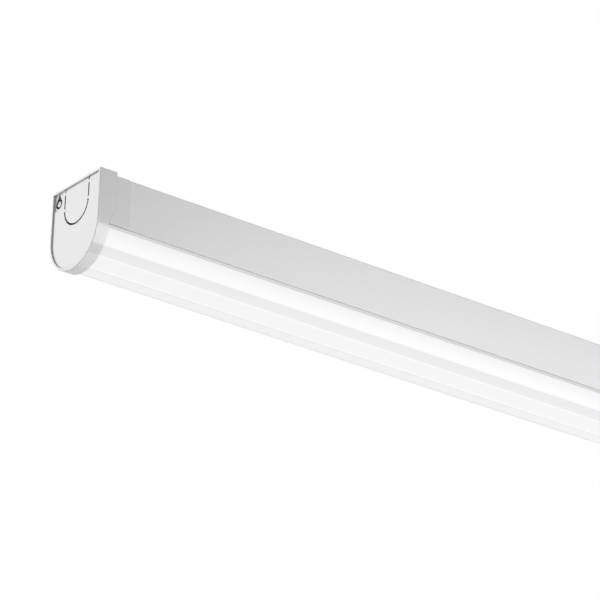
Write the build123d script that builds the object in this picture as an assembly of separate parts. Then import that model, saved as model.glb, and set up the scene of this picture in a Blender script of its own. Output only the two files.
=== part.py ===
from build123d import *
import os
from math import sqrt

# An LED batten light: a folded steel spine under the ceiling, and a light engine that drops off it.
# X runs along the batten, Y across it and Z up. Z is 0 at the ceiling and the batten hangs below.
# Both ends are alike: the right end is the left end turned half way round Z.

# Driving sizes in millimetres: the whole batten
length = 1200.0  # over the end caps
width = 62.0  # over the end caps
side_height = 39.5  # straight sides of the caps, above their half-round bottom

# Driving sizes: end caps
cap_wall = 1.4
cap_end_wall = 2.4  # with the lip
cap_shell_depth = 15.0  # at the sides
cap_rim_depth = 10.0  # round the diffuser
cap_rim_swing = 13.0  # height over which the rim swings from one depth to the other
cap_tongue_depth = 27.0
cap_tongue_relief = 0.5  # how far the tongue's lower edge lies behind the shell
cap_tongue_corner = 2.0
cap_tongue_drop = 1.2  # below the spine's back
cap_edge_bevel = 0.4
cap_lip_width = 1.6  # raised lip along the sides and bottom of the end wall
cap_lip_height = 1.7  # the same lip along the top
cap_lip_depth = 1.2
collar_wall = 1.2  # collar that the diffuser's end slips over
collar_depth = 7.0
boss_radius = 3.5
boss_side = 17.0
boss_drop = 38.8  # below the ceiling

# Driving sizes: conduit knockout in each end wall
knockout_room = 2.4  # from the screw's pocket
knockout_straight = 18.4
knockout_slit = 1.5
web_height = 2.0
web_drops = (5.2, 18.4)  # below the ceiling

# Driving sizes: the screw at each end, in its keyed cup
screw_inset = 6.9  # from the cap's side
screw_drop = 9.7
screw_radius = 1.75
screw_reach = 10.0  # shank beyond the cup's floor
screw_head_radius = 3.0
screw_head_height = 1.6
screw_head_bevel = 0.5
screw_tip_bevel = 0.6
screw_into_head = 0.4
screw_cross_width = 1.0
screw_cross_reach = 1.7
screw_cross_depth = 0.9
cup_radius = 3.9  # cup round the head
cup_base = 0.5
cup_rise = 7.6  # from the screw's middle to the point of the cup's key
cup_depth = 2.6
pocket_depth = 0.6  # shallow step round the cup
pocket_radius = 6.5
pocket_neck_half = 4.9
pocket_blend = 2.5
pocket_wall = 1.1
nut_half = 3.8
nut_thickness = 2.4

# Driving sizes: spine
spine_sheet = 0.8
spine_depth = 41.5  # from the ceiling to its lower edges
spine_bend = 0.8  # inside radius
tab_half = 3.6
tab_drop = 17.0

# Driving sizes: pressed pads, ceiling slots and cable entry
pad_height = 1.7
pad_slope = 40.0  # degrees
fixing_spacing = 900.0
fixing_pad_length = 46.0
fixing_pad_width = 30.0
fixing_pad_corner = 8.0
fixing_slot_length = 14.0
fixing_slot_half = 2.75
box_spacing = 51.0
box_pad_radius = 11.0
box_hole_radius = 2.25
entry_radius = 10.0
grommet_bore = 6.0
grommet_flange = 2.4
grommet_lip = 1.4

# Driving sizes: diffuser
diffuser_wall = 1.6
diffuser_leg = 1.3
bead_height = 2.0
bead_groove = 0.5
hook_reach = 1.1
hook_height = 1.4
ledge_reach = 1.4
ledge_height = 1.2

# Driving sizes: gear tray
tray_sheet = 0.7
tray_bend = 0.6
tray_edge_height = 10.5
tray_below_spine = 1.5
flange_inset = 3.8  # from the tray's side to its end flange
flange_height = 7.5

# Driving sizes: LED boards, underneath the tray
board_inset = 17.0  # from the tray's end
board_margin = 13.1  # from the tray's edge, with room for rivets and the bush
board_thickness = 1.6
board_gap = 3.0
chip_pitch = 12.0
chip_length = 3.5
chip_width = 2.8
chip_height = 0.7
chip_end = 9.0  # from a board's end to the middle of its first chip
link_length = 12.0
link_width = 8.0
link_height = 3.2
link_bevel = 0.5
inlet_length = 8.5
inlet_grip = 4.5  # over the board's edge
inlet_height = 4.6
board_screw_count = 3  # on each board
board_screw_first = 50.0  # from the middle of the batten
board_screw_last = 40.0  # from the board's far end
board_screw_inset = 4.0  # from a board's edge
small_radius = 1.5
small_tip = 1.2
small_head_radius = 2.8
small_head_height = 1.7

# Driving sizes: LED driver, on top of the tray
driver_start = 80.0
driver_length = 210.0
driver_margin = 4.1  # from the tray's edge
driver_base_height = 6.0
driver_cover_height = 17.0
driver_corner = 3.0
driver_cover_bevel = 1.5
driver_foot = 2.0
driver_foot_size = 7.0
ear_length = 10.0
ear_width = 10.0
ear_height = 3.6
ear_room = 2.8  # from a board's edge to the screw in an ear
rib_count = 9
rib_pitch = 6.0
rib_width = 1.6
rib_height = 0.6
rib_length = 26.0
plug_depth = 9.0
plug_height = 9.0
input_width = 19.0
input_side = 6.0
output_width = 7.0
output_pitch = 3.0

# Driving sizes: supply terminal block with a lever for each conductor
terminal_end = -6.0
terminal_length = 33.0
terminal_height = 15.0
pole_count = 3
pole_pitch = 9.0
pole_wall = 1.2
tunnel_size = 5.2
tunnel_floor = 2.4
terminal_corner = 1.0
lever_barrel = 2.0
lever_thickness = 2.2
lever_reach = 18.0
lever_from_back = 6.5
lever_rise = 12.2  # hinge line above the tray
lever_nose = 0.7
contact_thickness = 0.8
peg_radius = 1.6
peg_side = 9.0

# Driving sizes: wires, bush and earth tag
mains_wire_radius = 1.2
led_wire_radius = 0.9
mains_bend = 9.0
mains_run = 13.5  # straight, at each end of a mains wire
led_bend = 4.0
wire_grip = 6.0  # how far a wire goes into what holds it
bush_reach = 22.0  # beyond the driver
bush_bore = 2.6
bush_wall = 0.8
bush_flange = 1.0
bush_lip = 0.9
tag_place = 46.0
tag_radius = 4.2
tag_thickness = 0.8
tag_barrel = 8.0

# Driving sizes: leaf springs that grip the spine's sides
spring_from_end = 170.0
spring_width = 14.0
spring_sheet = 0.5
spring_inset = 3.1  # from the tray's edge to the spring's upright
spring_knee = 3.5  # above the tray's edges
spring_bow_height = 9.0
spring_tip_height = 9.0
spring_tip_in = 4.0
spring_bend = 1.5
rivet_inset = 5.5  # from the spring's upright
rivet_radius = 1.6
rivet_head_radius = 3.0
rivet_head_height = 1.0

# Clearances
body_gap = 0.3  # between pieces that move apart
seat_gap = 0.1  # between pieces that stay together
turn_gap = 0.05  # round a screw in its hole
diffuser_gap = 0.4  # diffuser to cap shell
shoulder_gap = 0.15  # diffuser to spine
edge_room = 1.2  # from a fitting on the tray to its edge
board_room = 0.4  # from a fitting under the tray to a board
slot_gap = 0.4  # screw shank in the spine's forked tab
cut_over = 2.0  # cutters pass this far through

# Places that follow from the sizes: width and height
half_width = width / 2
screw_side = half_width - screw_inset
knockout_half = screw_side - pocket_radius - knockout_room
height = side_height + half_width
cap_inner_half = half_width - cap_wall
spine_half = cap_inner_half - body_gap
spine_inner_half = spine_half - spine_sheet
spine_top = -pad_height
spine_bottom = -spine_depth
leg_outer = spine_inner_half - body_gap
leg_inner = leg_outer - diffuser_leg
tray_half = leg_inner - seat_gap
tray_inner = tray_half - tray_sheet
diffuser_radius = cap_inner_half - diffuser_gap
shoulder = spine_bottom - shoulder_gap
tray_under = spine_bottom - tray_below_spine
tray_top = tray_under + tray_sheet
tray_edge_top = tray_under + tray_edge_height
hook_under = tray_edge_top + seat_gap
board_under = tray_under - board_thickness
spring_foot = tray_inner - spring_inset
rivet_side = spring_foot - rivet_inset
tag_side = tray_inner - tag_radius - edge_room
board_half = tray_inner - board_margin
board_screw_side = board_half - board_screw_inset
ear_side = board_half + ear_room
driver_half = tray_inner - driver_margin
bush_outer = bush_bore + bush_wall + bush_flange
bush_side = board_half + bush_outer + board_room

# Places that follow from the sizes: along the batten, for the left end
end_face = -length / 2
wall_face = end_face + cap_lip_depth
wall_middle = end_face + (cap_lip_depth + cap_end_wall) / 2
pocket_floor = wall_face + pocket_depth
cup_floor = pocket_floor + cup_depth
cup_back = cup_floor + cap_wall
tab_face = cup_back + body_gap
nut_face = tab_face + spine_sheet + body_gap
spine_end = tab_face + spine_sheet + spine_bend
boss_end = end_face + cap_rim_depth - seat_gap
tray_end = boss_end + seat_gap
diffuser_end = end_face + cap_end_wall + diffuser_gap
board_length = -tray_end - board_inset - board_gap / 2
spring_place = length / 2 - spring_from_end
driver_end = driver_start + driver_length
bush_place = driver_end + bush_reach
driver_under = tray_top + driver_foot
wire_level = tray_top + tunnel_floor + contact_thickness + mains_wire_radius
plug_level = driver_under + driver_base_height + plug_height / 2
terminal_start = terminal_end - terminal_length
terminal_half = (pole_count * pole_pitch + pole_wall) / 2


def extruded_x(section, start, end):
    """A (Y, Z) section carried along X."""
    return extrude(Plane.YZ.offset(start) * section, end - start)


def extruded_y(section, start, end):
    """An (X, Z) section carried along Y."""
    return extrude(Plane.XZ.offset(-start) * section, start - end)


def extruded_z(section, start, end):
    """An (X, Y) section carried along Z."""
    return extrude(Plane.XY.offset(start) * section, end - start)


def block(x_range, y_range, z_range):
    """A plain block between the given limits."""
    sizes = [limits[1] - limits[0] for limits in (x_range, y_range, z_range)]
    middle = [(limits[1] + limits[0]) / 2 for limits in (x_range, y_range, z_range)]
    return Pos(*middle) * Box(*sizes)


def rod_x(radius, start, end, y, z):
    return extruded_x(Pos(y, z) * Circle(radius), start, end)


def rod_z(radius, start, end, x, y):
    return extruded_z(Pos(x, y) * Circle(radius), start, end)


def folded(points, sheet, inside_radius):
    """Section of bent sheet along its middle line."""
    return trace(FilletPolyline(*points, radius=inside_radius + sheet / 2), sheet)


def round_bottom(half, straight, top):
    """Flat-topped outline in (Y, Z) with straight sides and a half-round bottom."""
    sides = Line((-half, -straight), (-half, top)) + Line((-half, top), (half, top))
    sides += Line((half, top), (half, -straight))
    return make_face(sides + ThreePointArc((half, -straight), (0, -straight - half), (-half, -straight)))


def other_end(shape):
    """The same piece at the other end of the batten."""
    return Rot(0, 0, 180) * shape


# Spine: folded channel with pressed pads, ceiling slots and a forked tab at each end
def spine_channel():
    middle = spine_half - spine_sheet / 2
    level = spine_top - spine_sheet / 2
    corners = [(-middle, spine_bottom), (-middle, level), (middle, level), (middle, spine_bottom)]
    return extruded_x(folded(corners, spine_sheet, spine_bend), spine_end, -spine_end)


def screw_tab():
    """Tab bent down from the left end of the back, forked so that the screw can leave it downwards."""
    middle = tab_face + spine_sheet / 2
    level = spine_top - spine_sheet / 2
    corners = [(spine_end + tab_half, level), (middle, level), (middle, -tab_drop)]
    section = folded(corners, spine_sheet, spine_bend)
    strip = extruded_y(section, screw_side - tab_half, screw_side + tab_half)
    slot = screw_radius + slot_gap
    slot_height = tab_drop - screw_drop + cut_over
    fork = Pos(screw_side, -screw_drop) * Circle(slot)
    fork += Pos(screw_side, -screw_drop - slot_height / 2) * Rectangle(2 * slot, slot_height)
    return strip - extruded_x(fork, tab_face - cut_over, tab_face + spine_sheet + cut_over)


def pressed_pad(outline):
    """A pad raised to the ceiling, and the hollow under it."""
    pad = extrude(Plane.XY.offset(spine_top) * outline, pad_height, taper=pad_slope)
    under = Plane.XY.offset(spine_top - spine_sheet) * offset(outline, -spine_sheet)
    return pad, extrude(under, pad_height, taper=pad_slope)


def spine():
    fixing_pad = RectangleRounded(fixing_pad_length, fixing_pad_width, fixing_pad_corner)
    fixing_slot = SlotOverall(fixing_slot_length, 2 * fixing_slot_half)
    body = spine_channel() + screw_tab() + other_end(screw_tab())
    for side in (-1, 1):
        places = [
            (side * fixing_spacing / 2, fixing_pad, fixing_slot),
            (side * box_spacing / 2, Circle(box_pad_radius), Circle(box_hole_radius)),
        ]
        for place, outline, opening in places:
            pad, hollow = pressed_pad(Pos(place, 0) * outline)
            body = body + pad - hollow
            body -= extruded_z(Pos(place, 0) * opening, spine_top - spine_sheet - cut_over, cut_over)
    return body - rod_z(entry_radius, spine_top - spine_sheet - cut_over, cut_over, 0, 0)


def cable_grommet():
    """Rubber ring round the cable entry, with a lip on each side of the sheet."""
    sheet_under = spine_top - spine_sheet
    wide = entry_radius + grommet_flange
    ring = rod_z(entry_radius - seat_gap, sheet_under - grommet_lip, spine_top + grommet_lip, 0, 0)
    ring += rod_z(wide, spine_top + seat_gap / 2, spine_top + grommet_lip, 0, 0)
    ring += rod_z(wide, sheet_under - grommet_lip, sheet_under - seat_gap / 2, 0, 0)
    return ring - rod_z(grommet_bore, sheet_under - cut_over - grommet_lip, cut_over, 0, 0)


# End caps: moulded shell, side tongues, keyed cup's pocket, conduit knockout and two screw bosses
def cap_shell():
    shell = extruded_x(round_bottom(half_width, side_height, 0), end_face, end_face + cap_shell_depth)
    shell = chamfer(shell.edges().group_by(Axis.X)[0], cap_edge_bevel)
    inside = round_bottom(cap_inner_half, side_height, cut_over)
    return shell - extruded_x(inside, end_face + cap_end_wall, end_face + cap_shell_depth + cut_over)


def wall_outline():
    """Outline in (Y, Z) of the end wall inside its lip."""
    return round_bottom(half_width - cap_lip_width, side_height, -cap_lip_height)


def rim_cutter():
    """What is cut away so that the shell is shallower round the diffuser."""
    rim = end_face + cap_rim_depth
    deep = end_face + cap_shell_depth
    swing_end = spine_bottom + cap_rim_swing
    outside = [(deep, swing_end), (deep + cut_over, swing_end), (deep + cut_over, -height - cut_over)]
    edges = Polyline(*outside, (rim, -height - cut_over), (rim, spine_bottom))
    edges += Spline((rim, spine_bottom), (deep, swing_end), tangents=((0, 1), (0, 1)))
    return extruded_y(make_face(edges), -half_width - cut_over, half_width + cut_over)


def cap_tongue():
    """Flat tongue over one side of the spine."""
    top = spine_top - cap_tongue_drop
    outer = [(half_width, top), (half_width - cap_tongue_relief, spine_bottom)]
    inner = [(cap_inner_half, spine_bottom), (cap_inner_half, top)]
    section = make_face(Polyline(*outer, *inner, close=True))
    tongue = extruded_x(section, end_face + cap_end_wall, end_face + cap_tongue_depth)
    return fillet(tongue.edges().filter_by(Axis.Y).group_by(Axis.X)[-1], cap_tongue_corner)


def keyed_circle(radius):
    """Teardrop in (Y, Z) round the screw: a circle and the two tangents to a point above it."""
    rise = cup_rise * radius / cup_radius
    level = radius**2 / rise
    half = radius * sqrt(1 - (radius / rise) ** 2)
    point = make_face(Polyline((0, 0), (half, level), (0, rise), (-half, level), close=True))
    return Pos(screw_side, -screw_drop) * (Circle(radius) + point)


def pocket_outline():
    """Outline in (Y, Z) of the shallow step: a bulb with a neck up to the lip."""
    outline = Pos(screw_side, -screw_drop) * Circle(pocket_radius)
    neck_height = screw_drop + cut_over
    outline += Pos(screw_side, cut_over - neck_height / 2) * Rectangle(2 * pocket_neck_half, neck_height)
    corners = outline.vertices().sort_by(Axis.Y)
    inward = [corner for corner in corners if -screw_drop < corner.Y < -cut_over]
    return fillet(inward, pocket_blend)


def pocket_housing():
    """Thick wall behind the pocket that takes the cup, trimmed to the cap's own outline."""
    inside_cap = round_bottom(half_width - cap_wall / 2, side_height, 0)
    walls = offset(pocket_outline(), pocket_wall) & inside_cap
    return extruded_x(walls, wall_middle, cup_back)


def knockout_slits():
    """The thin cut round the knockout, up to the lip and left whole at four small webs."""
    outer = round_bottom(knockout_half + knockout_slit / 2, knockout_straight, -cap_lip_height)
    inner = round_bottom(knockout_half - knockout_slit / 2, knockout_straight, cut_over)
    slits = outer - inner
    for drop in web_drops:
        slits -= Pos(0, -drop) * Rectangle(2 * knockout_half + 2 * cut_over, web_height)
    return extruded_x(slits, end_face - cut_over, cup_back + cut_over)


def diffuser_collar():
    """Half-round collar inside the diffuser's end."""
    outer = diffuser_radius - diffuser_wall - seat_gap - ledge_reach
    ring = Pos(0, -side_height) * (Circle(outer) - Circle(outer - collar_wall))
    top = board_under - body_gap - cut_over
    lower = Pos(0, top - half_width) * Rectangle(width, width)
    return extruded_x(ring & lower, wall_middle, end_face + cap_end_wall + collar_depth)


def end_cap():
    body = cap_shell() - rim_cutter()
    tongue = cap_tongue()
    body += tongue + mirror(tongue, about=Plane.XZ)
    body += pocket_housing() + diffuser_collar()
    body -= extruded_x(wall_outline(), end_face - cut_over, wall_face)
    body -= extruded_x(pocket_outline() & wall_outline(), end_face - cut_over, pocket_floor)
    body -= extruded_x(keyed_circle(cup_radius + seat_gap), end_face - cut_over, cup_floor)
    hole = screw_radius + turn_gap
    body -= rod_x(hole, end_face, cup_back + cut_over, screw_side, -screw_drop)
    for side in (-1, 1):
        body += rod_x(boss_radius, wall_middle, boss_end, side * boss_side, -boss_drop)
        pilot = small_radius + turn_gap
        body -= rod_x(pilot, end_face + cap_end_wall, boss_end + cut_over, side * boss_side, -boss_drop)
    return body - knockout_slits()


# Screws: the two that hold the caps up, and the small ones inside
def head_under():
    """Where the end screw's head sits on the floor of its cup."""
    return cup_floor - seat_gap - cup_base


def cap_screw():
    """Pan-head screw along X with a crossed recess."""
    face = head_under() - screw_head_height
    head = rod_x(screw_head_radius, face, head_under(), screw_side, -screw_drop)
    head = chamfer(head.edges().group_by(Axis.X)[0], screw_head_bevel)
    cross = Rectangle(2 * screw_cross_reach, screw_cross_width)
    cross += Rot(0, 0, 90) * cross
    head -= extruded_x(Pos(screw_side, -screw_drop) * cross, face - cut_over, face + screw_cross_depth)
    start = head_under() - screw_into_head
    shank = rod_x(screw_radius, start, cup_floor + screw_reach, screw_side, -screw_drop)
    return head + chamfer(shank.edges().group_by(Axis.X)[-1], screw_tip_bevel)


def screw_cup():
    """Cup round the screw's head, with a pointed key so that it cannot turn."""
    cup = extruded_x(keyed_circle(cup_radius), pocket_floor, cup_floor - seat_gap)
    cup -= rod_x(screw_head_radius + seat_gap, end_face - cut_over, head_under(), screw_side, -screw_drop)
    hole = screw_radius + turn_gap
    return cup - rod_x(hole, end_face, cup_floor + cut_over, screw_side, -screw_drop)


def clamp_nuts():
    """Square nuts behind the spine's forks: the spine's side keeps each from turning."""
    outline = Pos(screw_side, -screw_drop) * Rectangle(2 * nut_half, 2 * nut_half)
    nut = extruded_x(outline, nut_face, nut_face + nut_thickness)
    hole = screw_radius + turn_gap
    nut -= rod_x(hole, nut_face - cut_over, nut_face + nut_thickness + cut_over, screw_side, -screw_drop)
    return Compound([nut, other_end(nut)])


def small_screw(reach):
    """Plain screw along Z: its head hangs below Z = 0 and its shank goes up."""
    return rod_z(small_head_radius, -small_head_height, 0, 0, 0) + rod_z(small_radius, 0, reach, 0, 0)


# Diffuser: opal trough with a bead along each edge and legs that hook over the tray
def diffuser_section():
    bead_under = shoulder - bead_height
    groove_under = bead_under - bead_groove
    arc_half = sqrt(diffuser_radius**2 - (groove_under + side_height) ** 2)
    bead_half = sqrt(diffuser_radius**2 - (bead_under + side_height) ** 2)
    inner_radius = diffuser_radius - diffuser_wall
    ledge_under = tray_under - seat_gap - ledge_height
    ledge_half = leg_inner - ledge_reach
    inner_half = sqrt(inner_radius**2 - (ledge_under + side_height) ** 2)
    hook_top = hook_under + hook_height
    right = [
        (arc_half, groove_under),
        (arc_half - bead_groove, groove_under),
        (arc_half - bead_groove, bead_under),
        (bead_half, bead_under),
        (bead_half, shoulder),
        (leg_outer, shoulder),
        (leg_outer, hook_top),
        (leg_inner, hook_top),
        (leg_inner - hook_reach, hook_under + hook_height / 3),
        (leg_inner - hook_reach, hook_under),
        (leg_inner, hook_under),
        (leg_inner, tray_under - seat_gap),
        (ledge_half, tray_under - seat_gap),
        (ledge_half, ledge_under),
        (inner_half, ledge_under),
    ]
    left = [(-y, z) for y, z in right]
    edges = Polyline(*right) + Polyline(*left)
    edges += ThreePointArc(right[0], (0, -side_height - diffuser_radius), left[0])
    return make_face(edges + ThreePointArc(right[-1], (0, -side_height - inner_radius), left[-1]))


def diffuser():
    return extruded_x(diffuser_section(), diffuser_end, -diffuser_end)


# Gear tray: shallow folded tray with an upright flange at each end
def tray_flange():
    middle = tray_end + tray_sheet / 2
    level = tray_under + tray_sheet / 2
    corners = [(tray_end + 2 * flange_height, level), (middle, level), (middle, tray_under + flange_height)]
    flange_half = tray_half - flange_inset
    strip = extruded_y(folded(corners, tray_sheet, tray_bend), -flange_half, flange_half)
    for side in (-1, 1):
        hole = small_radius + seat_gap
        strip -= rod_x(hole, tray_end - cut_over, tray_end + cut_over, side * boss_side, -boss_drop)
    return strip


def board_screw_places():
    """Places (X, Y) of the screws that hold both boards."""
    pitch = (board_length - board_screw_first - board_screw_last) / (board_screw_count - 1)
    steps = [board_screw_first + step * pitch for step in range(board_screw_count)]
    return [(side * step, -side * board_screw_side) for side in (-1, 1) for step in steps]


def rivet_places():
    return [(end * spring_place, side * rivet_side) for end in (-1, 1) for side in (-1, 1)]


def ear_places():
    """Places (X, Y) of the screws through the driver's ears."""
    return [(driver_start - ear_length / 2, -ear_side), (driver_end + ear_length / 2, -ear_side)]


def peg_places():
    middle = (terminal_start + terminal_end) / 2
    return [(middle, side * peg_side) for side in (-1, 1)]


def gear_tray():
    middle = tray_half - tray_sheet / 2
    level = tray_under + tray_sheet / 2
    corners = [(-middle, tray_edge_top), (-middle, level), (middle, level), (middle, tray_edge_top)]
    start = tray_end + flange_height
    tray = extruded_x(folded(corners, tray_sheet, tray_bend), start, -start)
    tray += tray_flange() + other_end(tray_flange())
    screws = board_screw_places() + ear_places() + [(tag_place, -tag_side)]
    holes = [(small_radius + turn_gap, screws)]
    holes.append((rivet_radius + seat_gap, rivet_places()))
    holes.append((peg_radius + seat_gap, peg_places()))
    holes.append((bush_bore + bush_wall, [(bush_place, bush_side)]))
    for radius, places in holes:
        for x, y in places:
            tray -= rod_z(radius, tray_under - cut_over, tray_top + cut_over, x, y)
    return tray


# LED boards: two strips with their chips, the link between them and the inlet for the driver's wires
def led_board(side):
    near = side * board_gap / 2
    far = side * (board_gap / 2 + board_length)
    ends = (min(near, far), max(near, far))
    board = block(ends, (-board_half, board_half), (board_under, tray_under))
    for x, y in board_screw_places():
        if x * side > 0:
            board -= rod_z(small_radius + seat_gap, board_under - cut_over, tray_under + cut_over, x, y)
    return board


def led_chips(side):
    count = int((board_length - 2 * chip_end) // chip_pitch) + 1
    first = board_gap / 2 + chip_end
    chip = Pos(0, 0, board_under - chip_height / 2) * Box(chip_length, chip_width, chip_height)
    return Compound([Pos(side * (first + step * chip_pitch), 0, 0) * chip for step in range(count)])


def board_link():
    """Two-pole bridge across the gap between the boards."""
    outline = Pos(0, board_half - link_width / 2) * Rectangle(link_length, link_width)
    body = extruded_z(outline, board_under - link_height, board_under)
    return chamfer(body.edges().group_by(Axis.Z)[0], link_bevel)


def board_inlet():
    """Socket over the right board's edge, with its mouths up towards the bush."""
    x_range = (bush_place - inlet_length / 2, bush_place + inlet_length / 2)
    outer = bush_side + bush_outer
    body = block(x_range, (board_half + seat_gap, outer), (board_under - inlet_height, inlet_top()))
    body += block(x_range, (board_half - inlet_grip, outer), (board_under - inlet_height, board_under))
    for side in (-1, 1):
        x = bush_place + side * led_step()
        body -= rod_z(led_wire_radius + turn_gap, inlet_floor(), inlet_top() + cut_over, x, bush_side)
    return body


def inlet_top():
    return tray_under - bush_lip - seat_gap


def inlet_floor():
    """Bottom of the socket's mouths."""
    return board_under - inlet_height / 2


def led_step():
    """Half the distance between the two wires to the boards."""
    return bush_bore / 2


def board_screws():
    screw = small_screw(board_thickness + tray_sheet + small_tip)
    return Compound([Pos(x, y, board_under) * screw for x, y in board_screw_places()])


def cap_fixing_screws():
    """Screws from the tray's end flanges into the caps' bosses."""
    screw = Rot(0, -90, 0) * small_screw(tray_sheet + cap_rim_depth / 2)
    at_left = [Pos(tray_end + tray_sheet, side * boss_side, -boss_drop) * screw for side in (-1, 1)]
    return Compound(at_left + [other_end(one) for one in at_left])


# LED driver: base on feet and ears, ribbed cover, a plug at each end and two screws
def driver_base():
    outline = RectangleRounded(driver_length, 2 * driver_half, driver_corner)
    middle = (driver_start + driver_end) / 2
    base = extruded_z(Pos(middle, 0) * outline, driver_under, driver_under + driver_base_height)
    for x in (driver_start + driver_foot_size, driver_end - driver_foot_size):
        for y in (driver_foot_size - driver_half, driver_half - driver_foot_size):
            foot = Pos(x, y) * Rectangle(driver_foot_size, driver_foot_size)
            base += extruded_z(foot, tray_top, driver_under)
    ears = (driver_start - ear_length, driver_end + ear_length)
    sides = (-ear_side - ear_width / 2, ear_width / 2 - ear_side)
    base += block(ears, sides, (tray_top, tray_top + ear_height))
    for x, y in ear_places():
        base -= rod_z(small_radius + seat_gap, tray_top - cut_over, tray_top + ear_height + cut_over, x, y)
    return base


def driver_cover():
    outline = RectangleRounded(driver_length, 2 * driver_half, driver_corner)
    middle = (driver_start + driver_end) / 2
    floor = driver_under + driver_base_height
    cover = extruded_z(Pos(middle, 0) * outline, floor, floor + driver_cover_height)
    cover = chamfer(cover.edges().group_by(Axis.Z)[-1], driver_cover_bevel)
    for step in range(rib_count):
        x = middle + (step - (rib_count - 1) / 2) * rib_pitch
        rib = Pos(x, 0) * Rectangle(rib_width, rib_length)
        cover += extruded_z(rib, floor + driver_cover_height, floor + driver_cover_height + rib_height)
    for x, y, plug_width in ((driver_start, 0, input_width), (driver_end, bush_side, output_width)):
        half = plug_width / 2 + seat_gap
        levels = (floor - cut_over, floor + plug_height + seat_gap)
        cover -= block((x - plug_depth, x + plug_depth), (y - half, y + half), levels)
    return cover


def input_wire_sides():
    return [(pole_pitch, input_side), (0, -input_side)]


def output_levels():
    return [plug_level + output_pitch / 2, plug_level - output_pitch / 2]


def driver_plug(x_range, y, plug_width):
    """Plug block in one end of the driver."""
    floor = driver_under + driver_base_height
    return block(x_range, (y - plug_width / 2, y + plug_width / 2), (floor, floor + plug_height))


def driver_input():
    plug = driver_plug((driver_start, driver_start + plug_depth - seat_gap), 0, input_width)
    hole = mains_wire_radius + turn_gap
    for _, y in input_wire_sides():
        plug -= rod_x(hole, driver_start - cut_over, driver_start + wire_grip, y, plug_level)
    return plug


def driver_output():
    plug = driver_plug((driver_end - plug_depth + seat_gap, driver_end), bush_side, output_width)
    hole = led_wire_radius + turn_gap
    for level in output_levels():
        plug -= rod_x(hole, driver_end - wire_grip, driver_end + cut_over, bush_side, level)
    return plug


def driver_screws():
    """Screws down through the ears into the tray."""
    screw = Rot(180, 0, 0) * small_screw(ear_height + tray_sheet + small_tip)
    return Compound([Pos(x, y, tray_top + ear_height) * screw for x, y in ear_places()])


# Supply terminal: housing, contacts and three levers
def poles():
    return [((pole_count - 1) / 2 - step) * pole_pitch for step in range(pole_count)]


def lever_axis_x():
    return terminal_start + lever_from_back


def terminal_block():
    roof = tray_top + terminal_height
    body = block((terminal_start, terminal_end), (-terminal_half, terminal_half), (tray_top, roof))
    body = chamfer(body.edges().group_by(Axis.Z)[-1], terminal_corner)
    hinge = tray_top + lever_rise
    half = (pole_pitch - pole_wall) / 2
    channel_floor = hinge - lever_thickness / 2 - body_gap
    floor = tray_top + tunnel_floor
    for y in poles():
        sides = (y - half, y + half)
        back = lever_axis_x() - lever_barrel - body_gap
        body -= block((lever_axis_x(), terminal_end + cut_over), sides, (channel_floor, roof + cut_over))
        body -= block((back, lever_axis_x() + lever_barrel + body_gap), sides, (hinge, roof + cut_over))
        body -= extruded_y(Pos(lever_axis_x(), hinge) * Circle(lever_barrel + body_gap), *sides)
        tunnel = (y - tunnel_size / 2, y + tunnel_size / 2)
        ends = (terminal_start - cut_over, terminal_end + cut_over)
        body -= block(ends, tunnel, (floor, floor + tunnel_size))
    for x, y in peg_places():
        body += rod_z(peg_radius, tray_under + seat_gap, tray_top + tunnel_floor / 2, x, y)
    return body


def terminal_contacts():
    """Brass strip on the floor of each tunnel."""
    floor = tray_top + tunnel_floor
    ends = (terminal_start + pole_wall, terminal_end - pole_wall)
    half = tunnel_size / 2 - seat_gap
    levels = (floor, floor + contact_thickness)
    return Compound([block(ends, (y - half, y + half), levels) for y in poles()])


def terminal_lever(y):
    """Lever with a round barrel on its hinge line and a raised nose at its tip."""
    hinge = tray_top + lever_rise
    half = (pole_pitch - pole_wall) / 2 - body_gap
    start = lever_axis_x()
    low = hinge - lever_thickness / 2
    high = hinge + lever_thickness / 2
    corners = [(start, low), (start + lever_reach, low), (start + lever_reach, high + lever_nose)]
    corners += [(start + lever_reach - lever_thickness, high + lever_nose)]
    corners += [(start + lever_reach - lever_thickness - lever_nose, high), (start, high)]
    section = make_face(Polyline(*corners, close=True)) + Pos(start, hinge) * Circle(lever_barrel)
    return extruded_y(section, y - half, y + half)


# Wires, the bush they pass through and the earth tag
def wire(radius, points, bend):
    """Round wire of straight runs joined by arcs."""
    path = FilletPolyline(*points, radius=bend)
    return sweep(Plane(origin=path @ 0, z_dir=path % 0) * Circle(radius), path)


def mains_wire(pole, y):
    """From a pole of the terminal to a mouth of the driver's plug."""
    return wire(
        mains_wire_radius,
        [
            (terminal_end - pole_wall - wire_grip, pole, wire_level),
            (terminal_end + mains_run, pole, wire_level),
            (driver_start - mains_run, y, plug_level),
            (driver_start + wire_grip - seat_gap, y, plug_level),
        ],
        mains_bend,
    )


def earth_wire():
    level = tray_top + tag_thickness + mains_wire_radius + seat_gap
    return wire(
        mains_wire_radius,
        [
            (terminal_end - pole_wall - wire_grip, -pole_pitch, wire_level),
            (terminal_end + mains_bend, -pole_pitch, wire_level),
            (tag_place - tag_radius - tag_barrel - mains_bend / 2, -tag_side, level),
            (tag_place - tag_radius - seat_gap, -tag_side, level),
        ],
        mains_bend,
    )


def led_wire(level, side):
    """From the driver, down through the bush and into the boards' socket."""
    x = bush_place + side * led_step()
    points = [(driver_end - wire_grip + seat_gap, level), (x, level), (x, inlet_floor() + seat_gap)]
    return wire(led_wire_radius, [(x, bush_side, z) for x, z in points], led_bend)


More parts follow.
